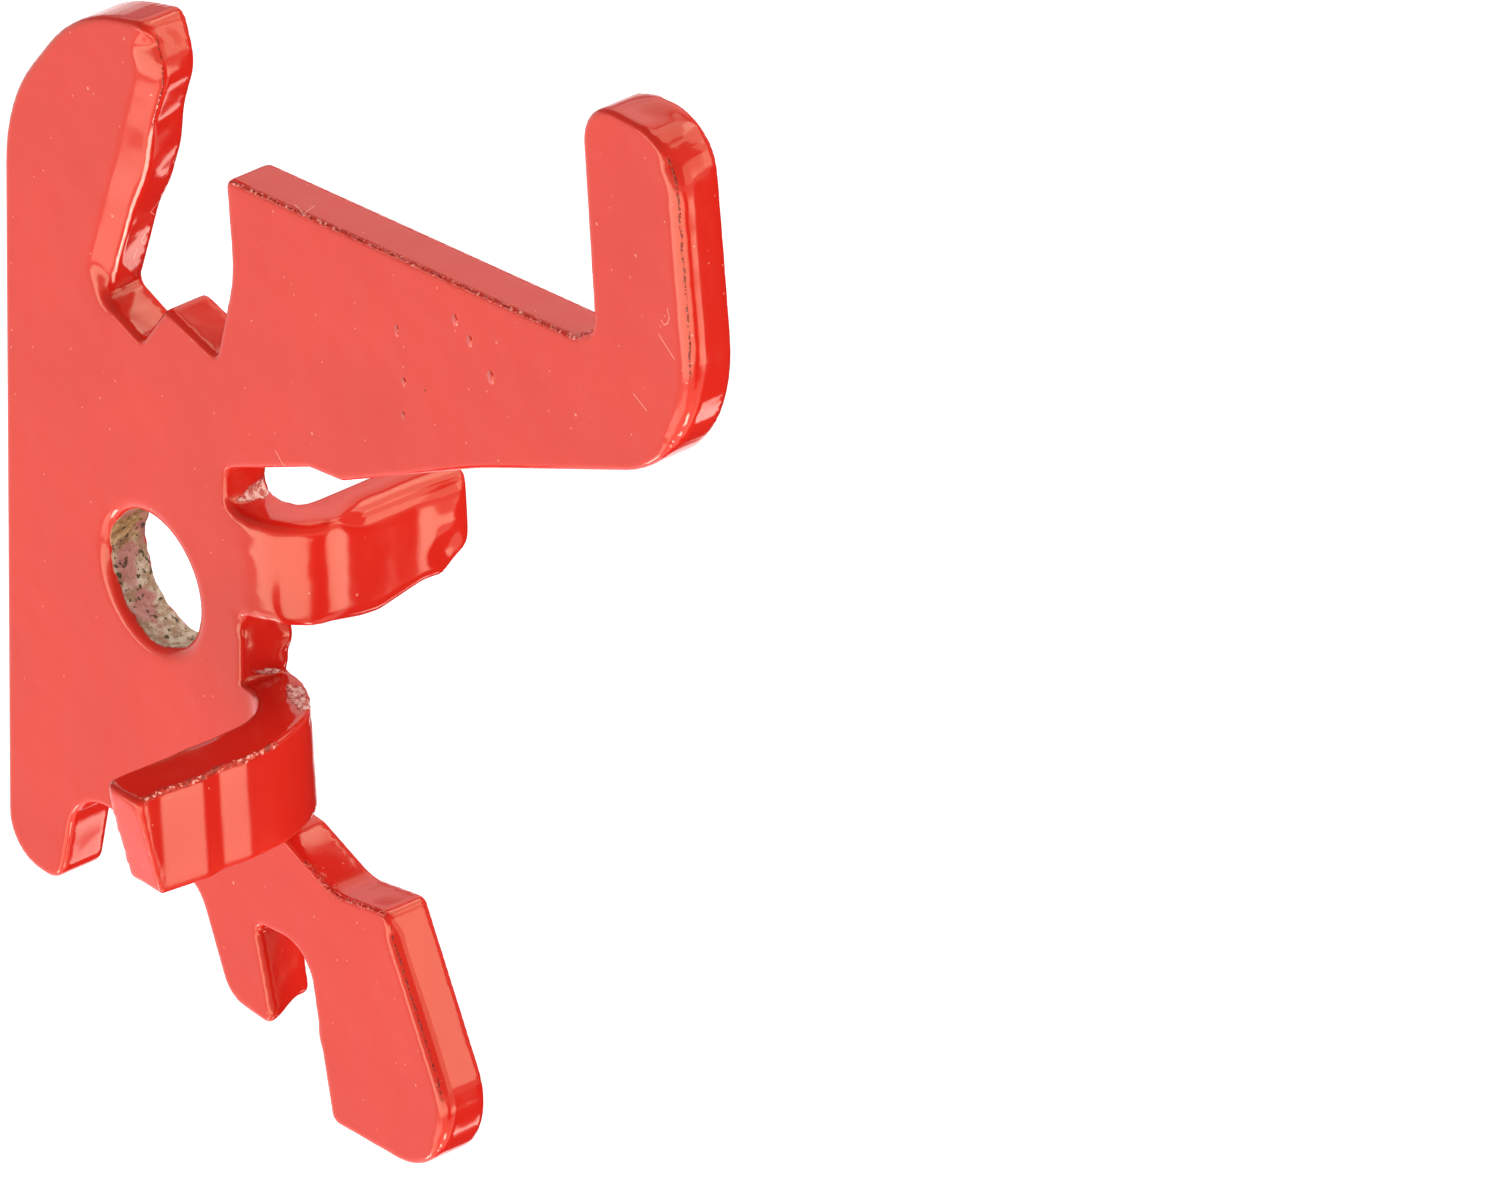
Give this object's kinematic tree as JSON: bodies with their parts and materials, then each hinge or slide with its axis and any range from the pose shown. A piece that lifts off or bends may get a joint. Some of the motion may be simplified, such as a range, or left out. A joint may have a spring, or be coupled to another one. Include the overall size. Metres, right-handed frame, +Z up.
{
  "type": "pegboard hook",
  "caption": "Flat hook cut and folded from thick sheet, with a sloping arm and upturned finger, a board notch, folded wings and a screw hole.",
  "frame": {"origin": "centre of the screw hole, halfway through the sheet", "axes": "+X along the arm towards the finger, +Y out of the back face, +Z up the straight back edge of the column"},
  "size_m": [0.0472, 0.0195, 0.0609],
  "materials": {
    "hook": "gloss"
  },
  "bodies": {
    "root": {"hook": "hook"}
  },
  "joints": []
}
